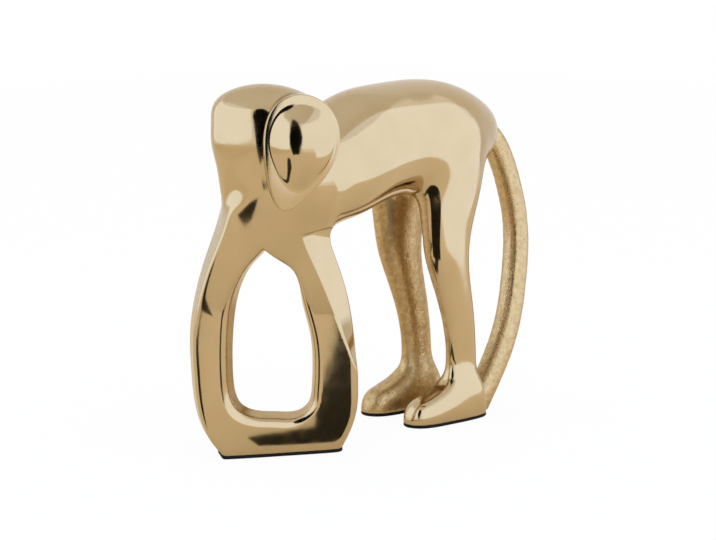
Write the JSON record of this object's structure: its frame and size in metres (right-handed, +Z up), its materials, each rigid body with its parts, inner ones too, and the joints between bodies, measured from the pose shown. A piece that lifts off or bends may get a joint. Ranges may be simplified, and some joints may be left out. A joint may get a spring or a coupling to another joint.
{
  "type": "monkey figurine",
  "caption": "Polished cast-metal monkey on all fours, its arms joined in a closed loop and its tail bowed down to one heel; a free-standing ornament on felt pads.",
  "frame": {"origin": "centre of the bounding box, at the underside of the felt pads", "axes": "+Z up, -Y the way the monkey faces, +X its left side"},
  "size_m": [0.0608, 0.2122, 0.1747],
  "materials": {
    "polished_metal": "mirror-polished cast aluminium with a light gold lacquer",
    "cast_metal": "as-cast sand texture under the same light gold lacquer",
    "felt": "black felt"
  },
  "bodies": {
    "root": {"torso": "polished_metal", "arm_loop": "polished_metal", "left_hind_leg": "polished_metal", "right_hind_leg": "polished_metal", "tail": "cast_metal", "head": "polished_metal", "left_ear": "polished_metal", "right_ear": "polished_metal", "front_pad": "felt", "left_foot_pad": "felt", "right_foot_pad": "felt"}
  },
  "joints": []
}
